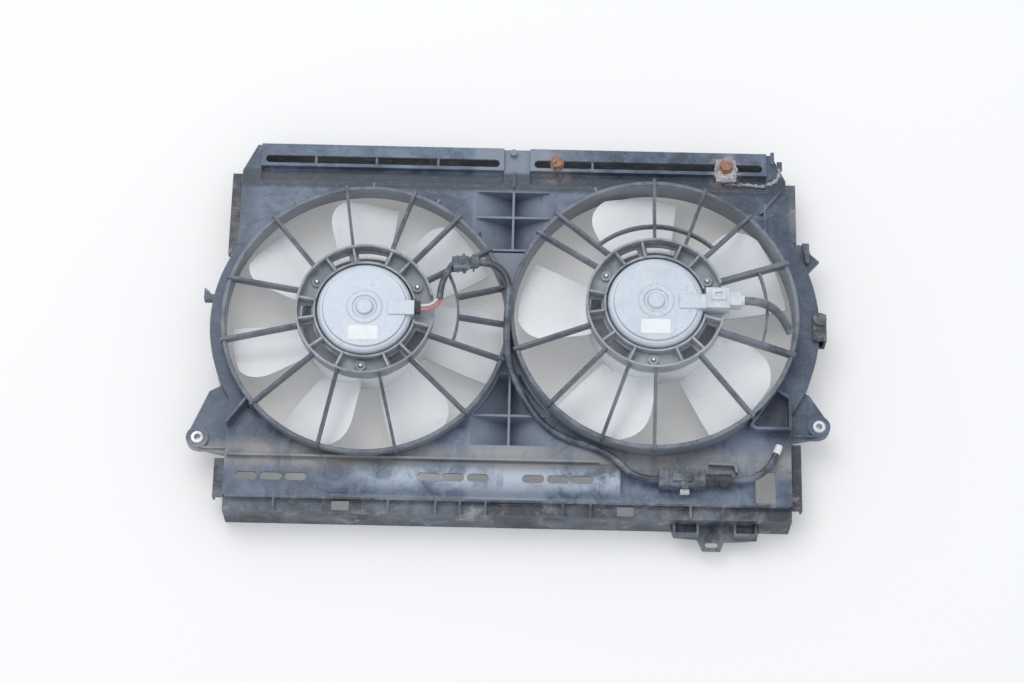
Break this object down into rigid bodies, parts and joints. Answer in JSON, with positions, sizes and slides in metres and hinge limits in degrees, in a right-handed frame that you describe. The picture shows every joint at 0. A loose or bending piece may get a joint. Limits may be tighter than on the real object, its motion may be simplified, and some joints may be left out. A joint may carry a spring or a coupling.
{
  "type": "radiator fan shroud",
  "caption": "Wide plastic radiator fan shroud carrying two electric fans in round rings with spoked motor stays, motor leads and side mounting ears.",
  "frame": {"origin": "centre of the bounding box, on the plane of the radiator edge the shroud lies on", "axes": "+X along the width, +Y up in the car, +Z away from the radiator towards the motors"},
  "size_m": [0.715, 0.474, 0.116],
  "materials": {
    "shroud_plastic": "weathered, dusty",
    "fan_plastic": "natural, grimy",
    "motor_aluminium": "satin silver",
    "motor_steel": "zinc plated",
    "bright_steel": "bright",
    "rusty_steel": "rusted",
    "corroded_zinc": "white rust",
    "ferrite": "matt",
    "sintered_bronze": "sintered",
    "card_plastic": "phenolic",
    "carbon": "matt",
    "lamination_steel": "stamped",
    "copper": "enamelled copper",
    "label_paper": "bare paper",
    "lock_plastic": "natural",
    "pale_plug_plastic": "natural grey",
    "white_wire": "vinyl",
    "red_wire": "vinyl",
    "connector_plastic": "moulded",
    "main_cable": "vinyl sheath",
    "tail_cable": "vinyl sheath",
    "corrugated_stub": "corrugated conduit",
    "pigtail_sleeving": "sleeving",
    "taped_bundle": "cloth tape"
  },
  "bodies": {
    "shroud": {"bottom_lip": "shroud_plastic", "bottom_wall": "shroud_plastic", "clip_nuts": "corroded_zinc", "connector_lock": "lock_plastic", "corrugated_stub": "corrugated_stub", "left_bearings": "sintered_bronze", "left_brush_card": "card_plastic", "left_brushes": "carbon", "left_ear": "shroud_plastic", "left_fan_ring": "shroud_plastic", "left_grommet": "connector_plastic", "left_hub_ring": "shroud_plastic", "left_lead_socket": "connector_plastic", "left_magnets": "ferrite", "left_motor_cover": "motor_aluminium", "left_motor_plug": "connector_plastic", "left_motor_yoke": "motor_steel", "left_side_wall": "shroud_plastic", "left_stay_ribs": "shroud_plastic", "left_top_rail": "shroud_plastic", "lower_bracket": "shroud_plastic", "main_cable": "main_cable", "main_plug": "connector_plastic", "main_socket": "connector_plastic", "motor_labels": "label_paper", "motor_screws": "bright_steel", "mounting_sleeves": "bright_steel", "pigtail_sleeving": "pigtail_sleeving", "pigtail_wire_red": "red_wire", "pigtail_wire_white": "white_wire", "rail_bolts_and_washers": "rusty_steel", "right_bearings": "sintered_bronze", "right_brush_card": "card_plastic", "right_brushes": "carbon", "right_ear": "shroud_plastic", "right_fan_ring": "shroud_plastic", "right_hub_ring": "shroud_plastic", "right_magnets": "ferrite", "right_motor_cover": "motor_aluminium", "right_motor_plug": "pale_plug_plastic", "right_motor_yoke": "motor_steel", "right_side_wall": "shroud_plastic", "right_stay_ribs": "shroud_plastic", "right_top_rail": "shroud_plastic", "shroud_panel": "shroud_plastic", "tail_cable": "tail_cable", "taped_bundle": "taped_bundle", "top_wall": "shroud_plastic"},
    "left_rotor": {"left_armature_core": "lamination_steel", "left_commutator": "copper", "left_fan": "fan_plastic", "left_fan_nut": "bright_steel", "left_shaft": "bright_steel", "left_windings": "copper"},
    "right_rotor": {"right_armature_core": "lamination_steel", "right_commutator": "copper", "right_fan": "fan_plastic", "right_fan_nut": "bright_steel", "right_shaft": "bright_steel", "right_windings": "copper"}
  },
  "joints": [
    {"name": "left_fan_spin", "type": "hinge", "parent": "shroud", "child": "left_rotor", "pos_m": [-0.163, 0.013, 0.045], "axis": [0, 0, 1], "continuous": true},
    {"name": "right_fan_spin", "type": "hinge", "parent": "shroud", "child": "right_rotor", "pos_m": [0.16, 0.022, 0.057], "axis": [0, 0, 1], "continuous": true}
  ]
}
